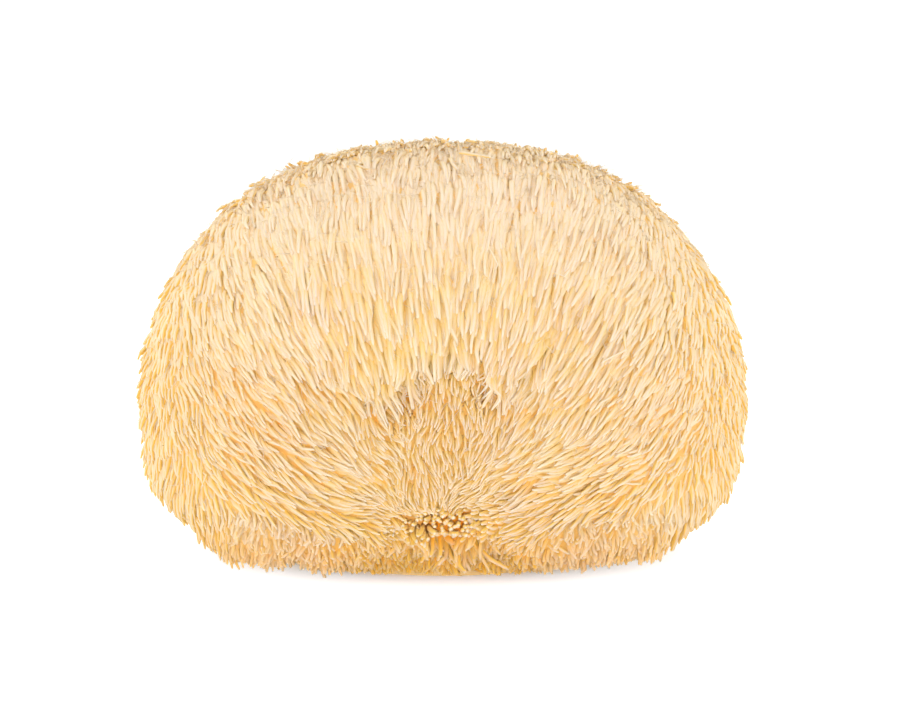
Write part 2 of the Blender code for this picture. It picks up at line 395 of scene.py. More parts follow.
# how far the flesh stands out of the smooth body
def folds(points):
    x, z = points[:, 0], points[:, 2]
    aside = np.abs(x)
    height = np.zeros(len(points))
    for side, dents in ((frontness(points), body["frontDents"]),
                        (frontness(points * [1.0, -1.0, 1.0]), body["backDents"])):
        for dentX, dentZ, radius, depth in dents:
            height -= side * depth * np.exp(-((x - dentX) ** 2 + (z - dentZ) ** 2) / radius ** 2)
    height -= body["pocketDepth"] * pocketShare(points)
    foot = np.where(x > 0.0, *body["frontFoot"]) * smoothStep(aside, *body["footFrom"])
    foot = foot * fadeOut(aside, *body["footTo"])
    height += foot * frontness(points) * fadeOut(z, *body["footLevels"])
    for level, reach, right, left in body["sideSwells"]:
        swell = np.where(x > 0.0, right, left) * smoothStep(aside, *body["swellFrom"])
        height += swell * np.exp(-((z - level) / reach) ** 2)
    height += padding(points)
    under, reach = underCurtain(points)
    under = under + curtain["length"]
    recess = smoothStep(under, *curtain["recessFrom"])
    recess = recess * np.exp(-np.maximum(under, 0.0) / curtain["reach"])
    proud = np.exp(-(np.minimum(under, 0.0) / curtain["reach"]) ** 2)
    proud = proud * fadeOut(under, *curtain["proudTo"])
    steps = curtain["proud"] * proud - curtain["recess"] * recess
    height += reach * curtain["overhang"] * steps
    near, far = (share * seam["halfLength"] for share in seam["ends"])
    along = 1.0 - smoothStep(aside, near, far)
    ledge = smoothStep(overSeam(points), *seam["ledge"])
    return height - frontness(points) * along * seam["overhang"] * ledge


combing = {
    "pole": (-1.0, -64.0, 23.9),   # the spines comb towards it
    "hole": (1.6, -56.0, 19.2),    # the dimple where they meet
    "holeHalfSize": (4.8, 3.9),
    # how strongly the spines hang
    "sideDroop": 1.3,
    "lowDroop": 3.5,
    "lowLevels": (14.0, 30.0),
    "crownDroop": 0.66,
    "crownHalfWidth": 26.0,
    "crownLevels": (34.0, 50.0),
    "backDroop": 0.45,
    "backFrom": (-15.0, 20.0),
    # the parting at the back
    "whorlPull": (0.04, 0.24),
    "whorlFrom": (0.0, 12.0),
    # straight down over the middle of the front
    "fanMiddle": -2.0,
    "fanHalfWidth": 8.0,
    "fanFrom": (22.0, 28.0),
    "fanTo": (40.0, 52.0),
    "fanSpread": -0.02,
    "fanShare": 0.75,
    # under the seam
    "tierInwards": 0.35,
    "tierToHole": 0.9,
    "tierReach": 35.0,
    "tierAside": (2.0, 12.0),
    "tierFrom": (-3.0, 1.5),
}
down = np.array([0.0, 0.0, -1.0])


def droop(points):
    x, y, z = points.T
    side = np.abs(x) / body["halfWidth"]
    low = 1.0 - smoothStep(z, *combing["lowLevels"])
    crown = np.exp(-(x / combing["crownHalfWidth"]) ** 2) * smoothStep(z, *combing["crownLevels"])
    front = (combing["sideDroop"] * side ** 4 + combing["lowDroop"] * side ** 2 * low
             + combing["crownDroop"] * crown)
    return blend(front, combing["backDroop"], smoothStep(y, *combing["backFrom"]))


# where the coat is drawn to: the pole, and down
def combPull(points):
    return unit(unit(np.array(combing["pole"]) - points) + droop(points)[:, None] * down)


# 1 at the back where the coat parts
def whorlShare(points, normals):
    pull = combPull(points)
    sideways = np.linalg.norm(pull - dot(pull, normals) * normals, axis=1)
    back = smoothStep(points[:, 1], *combing["whorlFrom"])
    return (1.0 - smoothStep(sideways, *combing["whorlPull"])) * back


# direction in which the spines lie, along the surface
def combWay(points, normals):
    upper = combPull(points)
    toHole = np.array(combing["hole"]) - points
    fan = np.exp(-((points[:, 0] - combing["fanMiddle"]) / combing["fanHalfWidth"]) ** 2)
    fan = fan * smoothStep(points[:, 2], *combing["fanFrom"])
    fan *= frontness(points) * (1.0 - smoothStep(points[:, 2], *combing["fanTo"]))
    straight = down + [[combing["fanSpread"], 0.0, 0.0]] * points
    upper = unit(blend(upper, straight, combing["fanShare"] * fan[:, None]))
    near = np.exp(-(np.linalg.norm(toHole, axis=1, keepdims=True) / combing["tierReach"]) ** 2)
    aside = smoothStep(np.abs(points[:, :1] - combing["hole"][0]), *combing["tierAside"])
    inwards = unit(points * [-1.0, -1.0, 0.0])
    lower = unit(down + combing["tierInwards"] * inwards
                 + combing["tierToHole"] * near * aside * unit(toHole))
    way = blend(lower, upper, smoothStep(overSeam(points), *combing["tierFrom"])[:, None])
    return unit(way - dot(way, normals) * normals)


# place seen from the front, with the rim of the hole at 1
def holePlace(points):
    return (points - np.array(combing["hole"]))[:, [0, 2]] / combing["holeHalfSize"]


# length at which a spine would reach the rim of the hole
def spanToHole(roots, way):
    place, step = holePlace(roots), way[:, [0, 2]] / combing["holeHalfSize"]
    a, b = np.sum(step ** 2, axis=1), np.sum(place * step, axis=1)
    c = np.sum(place ** 2, axis=1) - 1.0
    inside = b * b - a * c
    span = (-b - np.sqrt(np.maximum(inside, 0.0))) / np.maximum(a, 1e-6)
    return np.where((inside > 0.0) & (span > 0.0) & (roots[:, 1] < 0.0), span, 99.0)


# spacing, radius at the root and at the tip, length in millimetres;
# angle to the flesh at the root and at the tip
zoneLooks = {
    "coat": (1.21, 0.74, 0.42, 11.6, 42.0, 3.0),
    "low": (1.16, 0.66, 0.30, 8.4, 48.0, 11.0),
    "crown": (1.26, 0.72, 0.43, 13.0, 25.0, -4.0),
    "backCrown": (1.16, 0.64, 0.38, 9.0, 40.0, 8.0),
    "felt": (1.02, 0.54, 0.32, 8.2, 13.0, -6.0),
    "whorl": (0.92, 0.46, 0.28, 4.6, 52.0, 26.0),
    "lobe": (0.99, 0.53, 0.26, 6.6, 50.0, 16.0),
    "core": (0.80, 0.42, 0.20, 3.9, 50.0, 27.0),
    "bank": (1.00, 0.54, 0.44, 3.9, 68.0, 34.0),
    "tier": (0.96, 0.48, 0.40, 3.4, 64.0, 36.0),
    "rim": (1.14, 0.60, 0.50, 6.6, 74.0, 34.0),
    "hole": (1.05, 0.60, 0.56, 7.2, 90.0, 88.0),
}
# where each zone begins and is whole, or is whole and ends
zoneReach = {
    "low": (48.0, 72.0),           # height
    "backCrown": (1.2, 2.0),       # depth and height together, in half sizes
    "felt": (0.90, 0.98),          # upward part of the normal
    "feltBack": (-6.0, 12.0),
    "coreMiddle": -1.5,
    "core": (7.0, 20.0),           # from its middle
    "bankMiddle": (1.2, 20.0),     # X, Z
    "bankHalfSize": (18.0, 6.0),
    "bank": (0.7, 1.1),            # in half sizes
    "tier": (-3.0, 1.0),           # height over the seam
    "tierFront": (-26.0, -8.0),
    "tierSides": (44.0, 56.0),
    "rim": (1.5, 2.4),             # from the middle of the hole, in half sizes
    "rimTop": (0.2, 1.0),
    "hole": (0.95, 1.15),
}


# how much of each zone's look the spines have, later zones over earlier ones
def zoneShares(roots, normals):
    x, y, z = roots.T
    aside, upward, front = np.abs(x), normals[:, 2], frontness(roots)
    fromHole = np.linalg.norm(holePlace(roots), axis=1) + 1.0 - front
    core = coreShare(roots)
    fromCore = np.abs(x - zoneReach["coreMiddle"])
    bankX, bankZ = zoneReach["bankMiddle"]
    bankWidth, bankHeight = zoneReach["bankHalfSize"]
    fromBank = np.hypot((x - bankX) / bankWidth, (z - bankZ) / bankHeight)
    tier = fadeOut(overSeam(roots), *zoneReach["tier"]) * fadeOut(y, *zoneReach["tierFront"])
    rimTop = 1.0 - smoothStep(holePlace(roots)[:, 1], *zoneReach["rimTop"])
    return {
        "low": fadeOut(z, *zoneReach["low"]),
        "crown": smoothStep(upward, *body["facingUp"]),
        "backCrown": smoothStep(y / body["halfDepth"] + z / body["rise"], *zoneReach["backCrown"]),
        "felt": smoothStep(upward, *zoneReach["felt"]) * smoothStep(y, *zoneReach["feltBack"]),
        "whorl": whorlShare(roots, normals),
        "lobe": core,
        "core": core * (1.0 - smoothStep(fromCore, *zoneReach["core"])),
        "bank": front * (1.0 - smoothStep(fromBank, *zoneReach["bank"])),
        "tier": tier * (1.0 - smoothStep(aside, *zoneReach["tierSides"])),
        "rim": (1.0 - smoothStep(fromHole, *zoneReach["rim"])) * rimTop,
        "hole": 1.0 - smoothStep(fromHole, *zoneReach["hole"]),
    }


def zoneLook(shares):
    look = np.array([zoneLooks["coat"]])
    for zone, share in shares.items():
        look = blend(look, np.array(zoneLooks[zone]), share[:, None])
    return look.T


# painted shade in the gaps and folds: less golden, and darker orange
paintedGapShade = {
    # how much less of the golden painted shade in the gaps
    "crown": 0.28,
    "felt": 0.1,
    "tier": 0.1,
    "tierSides": 0.3,
    "tierFrom": (10.0, 32.0),
    # how much darker orange painted shade
    "curtain": 0.12,
    "curtainMiddle": 7.5,          # under its edge
    "curtainHalfHeight": 4.5,
    "patchLength": 14.0,
    "patches": (-0.9, 0.6),        # of the waves
    "pockets": 1.1,
    "pocketSoftness": 0.7,
    "dents": 5,                    # of the front dents, the first ones
    "dentDepth": 8.0,              # that would shade wholly
    "dentRaise": 4.0,
    "hole": (0.9, 1.5),
    "bank": 0.2,
    "folds": 0.8,
    "floor": 0.8,
    "floorLevels": (6.0, 19.0),
    "floorSides": (14.0, 40.0),
    "floorSideFade": 0.7,
}


# 1 where the gaps between the spines get their golden painted shade
def goldShadeShare(roots):
    shares = zoneShares(roots, outward(roots))
    aside = smoothStep(np.abs(roots[:, 0]), *paintedGapShade["tierFrom"])
    return (1.0 - paintedGapShade["crown"] * shares["crown"] - paintedGapShade["felt"] * shares["felt"]
            - shares["tier"] * (paintedGapShade["tier"] + paintedGapShade["tierSides"] * aside))


# painted shade: 1 in the folds, 0 on the open coat
def creaseShade(roots):
    x, z = roots[:, 0], roots[:, 2]
    under, reach = underCurtain(roots)
    under = under + curtain["length"] - paintedGapShade["curtainMiddle"]
    under = under / paintedGapShade["curtainHalfHeight"]
    patches = smoothStep(softNoise(roots, paintedGapShade["patchLength"], 61), *paintedGapShade["patches"])
    shade = paintedGapShade["curtain"] * reach * np.exp(-under ** 2) * patches
    shade += paintedGapShade["pockets"] * pocketShare(roots) ** paintedGapShade["pocketSoftness"]
    for dentX, dentZ, radius, depth in body["frontDents"][:paintedGapShade["dents"]]:
        fromDent = (x - dentX) ** 2 + (z - paintedGapShade["dentRaise"] - dentZ) ** 2
        share = frontness(roots) * depth / paintedGapShade["dentDepth"]
        shade += share * np.exp(-fromDent / radius ** 2)
    inHole = 1.0 - smoothStep(np.linalg.norm(holePlace(roots), axis=1), *paintedGapShade["hole"])
    bank = zoneShares(roots, outward(roots))["bank"]
    sides = paintedGapShade["floorSideFade"] * smoothStep(np.abs(x), *paintedGapShade["floorSides"])
    lowest = fadeOut(z, *paintedGapShade["floorLevels"]) * (1.0 - sides)
    return np.clip(paintedGapShade["folds"] * shade + frontness(roots) * inHole
                   + paintedGapShade["bank"] * bank + paintedGapShade["floor"] * lowest, 0.0, 1.0)


def addValues(mesh, name, values):
    layer = mesh.attributes.new(name, "FLOAT", "POINT")
    layer.data.foreach_set("value", np.asarray(values, dtype=np.float32).ravel())


flesh = {
    "cells": 56,                   # grid cells along each edge of the starting cube
    "cutCells": 14,                # of them, from the middle of the cut to its rim
    "lumps": 0.35,                 # millimetres
    "lumpLength": 9.0,
    "cutRoughness": 0.25,
    "cutGrain": 5.0,
}


# 1 on the rim of the cut, less inside it
def cutShare(points):
    fromMiddle = points[:, 1] - body["cutSetBack"]
    return np.hypot(points[:, 0] / body["cutHalfWidth"], fromMiddle / body["cutHalfDepth"])


# the cube's corners brought to the body, those under the cut to its flat oval
def fleshPoints(corners):
    under = corners[:, 2] < -1.0 + 1e-4
    square = np.max(np.abs(corners[:, :2]), axis=1)
    radius = np.maximum(np.linalg.norm(corners[:, :2], axis=1), 1e-9)
    rim = 2.0 * flesh["cutCells"] / flesh["cells"]
    share = 1.0 - smoothStep(square, rim * 1.2, 1.0)
    corners[:, :2] *= np.where(under, 1.0 + share * (square / radius - 1.0), 1.0)[:, None]
    directions = unit(np.tan(corners * math.pi / 4.0))
    directions[:, 2] += body["crownBias"]
    points = smoothBody(unit(directions))
    lumps = flesh["lumps"] * softNoise(points, flesh["lumpLength"], 5)
    points += (folds(points) + lumps)[:, None] * outward(points)
    inCut = under & (square < rim + 1e-4)
    ring = corners[inCut, :2] / rim
    points[inCut, 0] = ring[:, 0] * body["cutHalfWidth"]
    points[inCut, 1] = ring[:, 1] * body["cutHalfDepth"] + body["cutSetBack"]
    inner = 1.0 - smoothStep(cutShare(points[inCut]), 0.9, 1.0)
    grain = 0.5 + 0.5 * softNoise(points[inCut], flesh["cutGrain"], 6)
    points[inCut, 2] = np.maximum(flesh["cutRoughness"] * inner * grain, 0.0)
    return points


def makeFlesh():
    deselectAll()
    bpy.ops.mesh.primitive_cube_add(size=2.0)
    piece = bpy.context.object
    piece.name = "flesh"
    bpy.ops.object.mode_set(mode="EDIT")
    bpy.ops.mesh.select_all(action="SELECT")
    bpy.ops.mesh.subdivide(number_cuts=flesh["cells"] - 1)
    bpy.ops.object.mode_set(mode="OBJECT")
    corners = np.empty(len(piece.data.vertices) * 3)
    piece.data.vertices.foreach_get("co", corners)
    points = fleshPoints(corners.reshape(-1, 3))
    piece.data.vertices.foreach_set("co", (points * mm).ravel())
    piece.data.update()
    bpy.ops.object.shade_smooth()
    # painted shade in the folds, and the share of golden painted shade in the gaps
    addValues(piece.data, "shade", creaseShade(points))
    addValues(piece.data, "flankShade", goldShadeShare(points))
    return piece


# random points on the flesh, in millimetres
def pointsOn(piece, count, draw):
    mesh = piece.data
    mesh.calc_loop_triangles()
    corners = np.empty(len(mesh.vertices) * 3)
    mesh.vertices.foreach_get("co", corners)
    corners = corners.reshape(-1, 3) / mm
    triangles = np.empty(len(mesh.loop_triangles) * 3, dtype=np.int32)
    mesh.loop_triangles.foreach_get("vertices", triangles)
    a, b, c = corners[triangles.reshape(-1, 3)].transpose(1, 0, 2)
    areas = np.linalg.norm(np.cross(b - a, c - a), axis=1) / 2.0
    picked = draw.choice(len(areas), size=count, p=areas / areas.sum())
    u, v = draw.random((2, count, 1))
    over = u + v > 1.0
    u, v = np.where(over, 1.0 - u, u), np.where(over, 1.0 - v, v)
    return a[picked] + u * (b - a)[picked] + v * (c - a)[picked]


spine = {
    "tries": 280000,
    "baldCut": (2.0, 1.12),        # no roots lower than this and this near the cut
    "baldPocket": 0.75,
    "sides": 5,
    "rings": [0.0, 0.36, 0.72, 0.94],                  # share of the length
    "rounding": [1.0, 1.0, 1.0, 0.78],                 # of the radius there
    "radiusSpread": 0.11,          # of the radius
    "radiusLimits": (0.6, 1.4),
    "lengthSpread": (0.74, 1.14),
    "lengthWaves": (0.07, 8.0),    # height and length of the waves
    "sink": 1.2,                   # depth of the root in the flesh
    "fineSink": 0.85,              # less of it on the felt and the fine spines
    "ribs": 0.5,                   # share whose tips dive into the flesh
    "fewerLowRibs": 0.4,
    "ribTipAngle": -19.0,
    "ribWidth": 1.25,
    "rootAngleSpread": 5.0,
    "tipAngleSpread": 3.0,
    "tipAngleWaves": (3.0, 9.0),
    "straightening": 1.6,          # how soon the angle falls from the root's to the tip's
    "hang": 0.4,                   # of the overhang's angle, where the flesh faces down
    "bend": 0.04,
    "curl": 0.03,
    "coatCurl": 0.3,               # of it on the coat
    "curlTurns": 5.5,              # radians along the spine
    "hangFree": 2.6,               # furthest a tip is drawn in to follow the flesh
    "lockSize": 3.0,               # neighbouring tips within it lean together
    "lockPull": 0.42,
    "crownLockPull": 0.5,          # less of it on the crown
    "lockCurve": 1.5,              # how late along the spine it leans
    "floorGap": 0.35,
    "floorEase": 2.0,
    "tipPaleness": 0.25,           # how far the golden painted shade on the spines' sides fades towards the tip
    # spines that cross their neighbours
    "strays": 0.006,
    "strayTurn": 0.4,
    "strayLift": 8.0,
    "strayCurl": 9.0,
    "strayWidth": 0.7,
    # shorter towards the sides
    "sideShortening": 0.25,
    "sidesFrom": (26.0, 60.0),
    # short spines under the seam
    "tierLonger": 0.2,
    "tierLongerFrom": (12.0, 32.0),
    "tierShorter": 0.15,
    "tierShorterFrom": (46.0, 62.0),
    "tierLengthSpread": (-0.35, 0.2),
    "tierHang": 0.2,
    "tierHangFree": 2.0,
    "tierBend": 0.35,
    "tierCurl": 4.0,
    # tips stop at the rim of the hole
    "rimGap": 0.2,
    "leastSpan": 2.0,
    # spines in the hole, seen end on
    "holeLengthSpread": (-0.35, 0.1),
    "holeLean": (0.0, -0.98, 0.18),
}
# how far the spines turn from the combing, in radians:
# random part, then height, length and seed of soft waves
coatTurn = (0.05, [(0.07, 17.0, 41), (0.04, 7.0, 42)])
zoneTurns = {
    "tier": (0.8, [(0.6, 7.0, 48)]),
    "felt": (0.12, []),
    "backCrown": (0.15, []),
    "bank": (0.35, [(0.4, 6.0, 49)]),
    "whorl": (0.8, []),
    "lobe": (0.12, [(0.22, 11.0, 46)]),
    "low": (0.06, [(0.12, 12.0, 47)]),
    "core": (0.15, [(0.2, 6.0, 45)]),
}


# roots on the flesh, none nearer to the next than their zone's spacing
def scatter(piece, seed):
    points = pointsOn(piece, spine["tries"], np.random.default_rng(seed))
    level, rim = spine["baldCut"]
    covered = (points[:, 2] > level) | (cutShare(points) > rim)
    points = points[covered & (pocketShare(points) < spine["baldPocket"])]
    spacing = zoneLook(zoneShares(points, outward(points)))[0]
    limits = (spacing ** 2).tolist()
    kept, grid = [], {}
    cells = np.floor(points / spacing.max()).astype(int)
    near = [(i, j, k) for i in (-1, 0, 1) for j in (-1, 0, 1) for k in (-1, 0, 1)]
    for index, (cell, point, limit) in enumerate(zip(cells.tolist(), points.tolist(), limits)):
        x, y, z = point
        i, j, k = cell
        others = (other for a, b, c in near for other in grid.get((i + a, j + b, k + c), ()))
        if all((qx - x) ** 2 + (qy - y) ** 2 + (qz - z) ** 2 >= limit for qx, qy, qz in others):
            grid.setdefault((i, j, k), []).append((x, y, z))
            kept.append(index)
    return points[kept]


def turnFrom(roots, turns, draw):
    spread, waves = turns
    turn = np.zeros(len(roots))
    for height, wavelength, seed in waves:
        turn += height * softNoise(roots, wavelength, seed)
    return turn + draw.normal(0.0, spread, len(roots))


# step of each tip to the tip of its lock's leader
def lockPull(points, tips, size):
    order = np.random.default_rng(21).permutation(len(points))
    tree = KDTree(len(points))
    for index, point in enumerate(points):
        tree.insert(point, index)
    tree.balance()
    leader = np.full(len(points), -1)
    for index in order:
        if leader[index] < 0:
            for _, other, _ in tree.find_range(points[index], size / 2.0):
                if leader[other] < 0:
                    leader[other] = index
    return tips[leader] - tips


# brings the rings of every spine to their heights over the flesh
def followFlesh(piece, paths, high, steps, slacks, free):
    tree = BVHTree.FromObject(piece, bpy.context.evaluated_depsgraph_get())
    for ring in range(1, len(steps)):
        for spot, target, slack, loose in zip(paths[:, ring], high[:, ring], slacks, free):
            near, normal, _, _ = tree.find_nearest((spot * mm).tolist())
            height = float((spot - np.array(near) / mm) @ np.array(normal))
            move = max(target - height, -slack * steps[ring] ** 2)
            spot += (1.0 - loose) * move * np.array(normal)


# paths, side directions and radii of every spine
def growSpines(piece, roots):
    draw = np.random.default_rng(33)
    count = len(roots)
    normals = outward(roots)
    shares = zoneShares(roots, normals)
    _, rootRadius, tipRadius, length, rootAngle, tipAngle = zoneLook(shares)
    way = combWay(roots, normals)
    side = np.cross(way, normals)
    tier, hole = shares["tier"], shares["hole"]
    stray = draw.random(count) < spine["strays"]
    fine = np.maximum.reduce([shares["felt"], shares["core"], tier, hole])
    ribShare = spine["ribs"] * (1.0 - fine) * (1.0 - spine["fewerLowRibs"] * shares["low"])
    rib = (draw.random(count) < ribShare) & ~stray
    swerve = turnFrom(roots, coatTurn, draw)
    swerve += np.where(stray, draw.normal(0.0, spine["strayTurn"], count), 0.0)
    for zone, turns in zoneTurns.items():
        swerve += shares[zone] * turnFrom(roots, turns, draw)
    way = unit(way + side * swerve[:, None])
    side = np.cross(way, normals)

    aside = np.abs(roots[:, 0])
    length *= 1.0 - spine["sideShortening"] * smoothStep(aside, *spine["sidesFrom"])
    longer = spine["tierLonger"] * frontness(roots) * smoothStep(aside, *spine["tierLongerFrom"])
    shorter = spine["tierShorter"] * smoothStep(aside, *spine["tierShorterFrom"])
    length *= 1.0 + tier * (longer - shorter)
    height, wavelength = spine["lengthWaves"]
    length = length * (1.0 + height * softNoise(roots, wavelength, 43))
    length = length * draw.uniform(*spine["lengthSpread"], count)
    length *= (1.0 + hole * draw.uniform(*spine["holeLengthSpread"], count)
               + tier * draw.uniform(*spine["tierLengthSpread"], count))
    span = np.maximum(spanToHole(roots, way) - spine["rimGap"], spine["leastSpan"])
    length = np.where(hole < 0.5, np.minimum(length, span), length)
    rootAngle = np.radians(rootAngle + draw.normal(0.0, spine["rootAngleSpread"], count))
    tipAngle = np.where(rib, spine["ribTipAngle"], tipAngle)
    height, wavelength = spine["tipAngleWaves"]
    tipAngle = tipAngle + height * softNoise(roots, wavelength, 44)
    tipAngle = tipAngle + draw.normal(0.0, spine["tipAngleSpread"], count)
    overhang = np.arcsin(np.clip(-normals[:, 2], 0.0, 1.0))
    hang = (1.0 - hole) * (spine["hang"] + spine["tierHang"] * tier) * overhang
    tipAngle = hang + np.radians(tipAngle + spine["strayLift"] * stray)

    steps = np.array(spine["rings"] + [1.0])
    middles = (steps[1:] + steps[:-1]) / 2.0
    early = (1.0 - middles) ** spine["straightening"]
    angles = tipAngle[:, None] + (rootAngle - tipAngle)[:, None] * early
    spans = np.diff(steps) * length[:, None]
    start = np.zeros((count, 1))
    ahead = np.concatenate([start, np.cumsum(spans * np.cos(angles), axis=1)], axis=1)
    high = np.concatenate([start, np.cumsum(spans * np.sin(angles), axis=1)], axis=1)
    sink = spine["sink"] * (1.0 - spine["fineSink"] * np.maximum(shares["felt"], shares["core"]))
    high -= sink[:, None]
    bend = draw.normal(0.0, spine["bend"], count)
    bend += tier * draw.normal(0.0, spine["tierBend"], count)
    curl = spine["coatCurl"] + spine["tierCurl"] * tier + spine["strayCurl"] * stray
    curl = curl * draw.normal(0.0, spine["curl"], count)
    phase = draw.uniform(0.0, 2.0 * math.pi, count)
    wave = np.sin(spine["curlTurns"] * steps + phase[:, None])
    sway = length[:, None] * (bend[:, None] * steps ** 2 + curl[:, None] * wave * steps)
    lift = unit(blend(normals, np.array(spine["holeLean"]), hole[:, None]))
    paths = (roots[:, None] + way[:, None] * ahead[..., None] + lift[:, None] * high[..., None]
             + side[:, None] * sway[..., None])
    pull = lockPull(roots, paths[:, -1], spine["lockSize"])
    strength = spine["lockPull"] * (1.0 - spine["crownLockPull"] * shares["crown"])
    paths += strength[:, None, None] * pull[:, None] * (steps ** spine["lockCurve"])[None, :, None]
    slacks = spine["hangFree"] * (1.0 + spine["tierHangFree"] * tier)
    followFlesh(piece, paths, high, steps, slacks, hole)

    radii = blend(rootRadius[:, None], tipRadius[:, None], steps)
    radii = radii * np.array(spine["rounding"] + [0.0])
    spread = draw.normal(0.0, spine["radiusSpread"], (count, 1))
    radii *= np.clip(1.0 + spread, *spine["radiusLimits"])
    radii[stray] *= spine["strayWidth"]
    radii[rib] *= spine["ribWidth"]
    # those that would reach the floor stop softly above it
    floor, ease, level = spine["floorGap"] + radii, spine["floorEase"], paths[..., 2]
    eased = floor + ease * np.exp(np.minimum((level - floor) / ease - 1.0, 0.0))
    paths[..., 2] = np.where(level < floor + ease, eased, level)
    return paths, side, normals, radii


fuzz = {
    "tries": 9000,
    "sideShare": 0.35,             # of the density on the crown
    "crownFrom": (0.2, 0.8),
    "levels": (12.0, 30.0),
    "rings": [0.0, 0.5, 0.85],
    "sides": 3,
    "radius": 0.10,
    "spread": (0.7, 1.3),          # of the length and of the radius
    "taper": 0.6,
    "colour": (0.96, 0.86, 0.72, 1.0),
    "length": 6.0,
    "angle": 42.0,
    "feltLength": 2.6,
    "feltAngle": 28.0,
    "angleSpread": 9.0,
    "turn": 0.7,
    "sag": 0.45,
    "sway": 0.2,
}


# fine hairs that stand out of the coat
def growFuzz(piece):
    draw = np.random.default_rng(71)
    roots = pointsOn(piece, fuzz["tries"], draw)
    normals = outward(roots)
    share = blend(fuzz["sideShare"], 1.0, smoothStep(normals[:, 2], *fuzz["crownFrom"]))
    kept = draw.random(len(roots)) < share * smoothStep(roots[:, 2], *fuzz["levels"])
    roots, normals = roots[kept], normals[kept]
    count = len(roots)
    way = combWay(roots, normals)
    side = np.cross(way, normals)
    turn = draw.normal(0.0, fuzz["turn"], (count, 1))
    way = unit(way * np.cos(turn) + side * np.sin(turn))
    side = np.cross(way, normals)
    steps = np.array(fuzz["rings"] + [1.0])
    felt = zoneShares(roots, normals)["felt"]
    length = blend(fuzz["length"], fuzz["feltLength"], felt) * draw.uniform(*fuzz["spread"], count)
    angle = draw.normal(blend(fuzz["angle"], fuzz["feltAngle"], felt), fuzz["angleSpread"])
    angle = np.radians(angle)
    ahead = length[:, None] * steps * np.cos(angle)[:, None]
    high = length[:, None] * steps * np.sin(angle)[:, None] * (1.0 - fuzz["sag"] * steps)
    sway = length[:, None] * draw.normal(0.0, fuzz["sway"], (count, 1)) * steps ** 2
    paths = (roots[:, None] + way[:, None] * ahead[..., None] + normals[:, None] * high[..., None]
             + side[:, None] * sway[..., None])
    radii = fuzz["radius"] * draw.uniform(*fuzz["spread"], (count, 1))
    radii = radii * (1.0 - fuzz["taper"] * steps)
    return paths, side, normals, radii


bakeCell = {
    "size": (0.86, 0.84),
    "margin": (0.07, 0.10),
    "cap": (0.5, -0.05),           # middle of the root's cap, under the walls
    "capRadii": (0.4, 0.03),
}


# bake map of one spine, unrolled: walls, tip and the cap at its root
def unroll(steps, sides, ring, turnIndex, turn):
    left, low, high = turnIndex / sides, steps[ring], steps[ring + 1]
    right = left + 1.0 / sides
    walls = np.stack([left, low, right, low, right, high, left, high], axis=1).reshape(-1, 2)
    left, last = np.arange(sides) / sides, np.full(sides, steps[-2])
    right, middle = left + 1.0 / sides, left + 0.5 / sides
    tips = np.stack([left, last, right, last, middle, np.ones(sides)], axis=1).reshape(-1, 2)
    circle = np.stack([np.cos(turn[::-1]), np.sin(turn[::-1])], axis=1)
    cap = circle * bakeCell["capRadii"] + bakeCell["cap"]
    return np.concatenate([walls, tips, cap]) * bakeCell["size"] + bakeCell["margin"]


